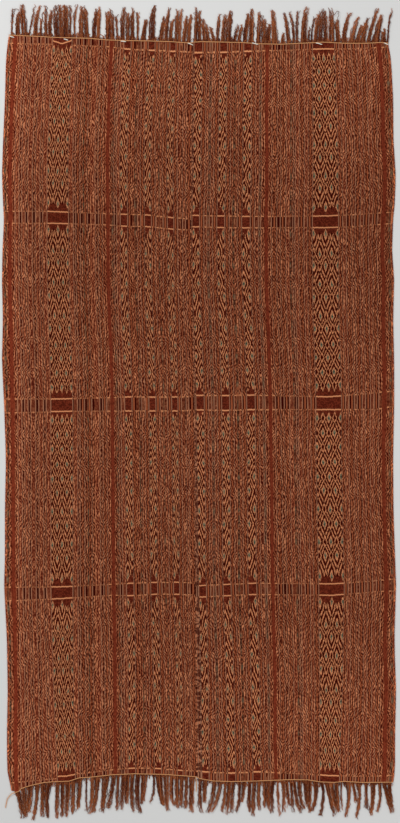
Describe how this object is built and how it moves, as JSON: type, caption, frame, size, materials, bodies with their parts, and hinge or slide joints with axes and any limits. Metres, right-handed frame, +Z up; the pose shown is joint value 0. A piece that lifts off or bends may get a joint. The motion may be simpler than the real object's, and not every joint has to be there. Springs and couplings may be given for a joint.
{
  "type": "ikat woven cloth",
  "caption": "Rectangular warp ikat cloth of joined panels, laid flat, with twined ends and loose yarn fringes.",
  "frame": {"origin": "middle of the cloth's footprint, on the surface that it lies on", "axes": "+Y along the warp towards the upper fringe, +X across the cloth to the right, +Z up from the surface"},
  "size_m": [1.0244, 2.1196, 0.0041],
  "materials": {
    "woven_cloth": "matt plain weave with warp stripes and bound, resist-dyed figures",
    "fringe_yarn": "matt loose cotton yarn with frayed tips",
    "twining_cord": "matt undyed two-strand cord"
  },
  "bodies": {
    "root": {"panel_left": "woven_cloth", "panel_right": "woven_cloth", "fringe_top_left": "fringe_yarn", "fringe_top_right": "fringe_yarn", "fringe_bottom_left": "fringe_yarn", "fringe_bottom_right": "fringe_yarn", "twining_top_left": "twining_cord", "twining_top_right": "twining_cord", "twining_bottom_left": "twining_cord", "twining_bottom_right": "twining_cord"}
  },
  "joints": []
}
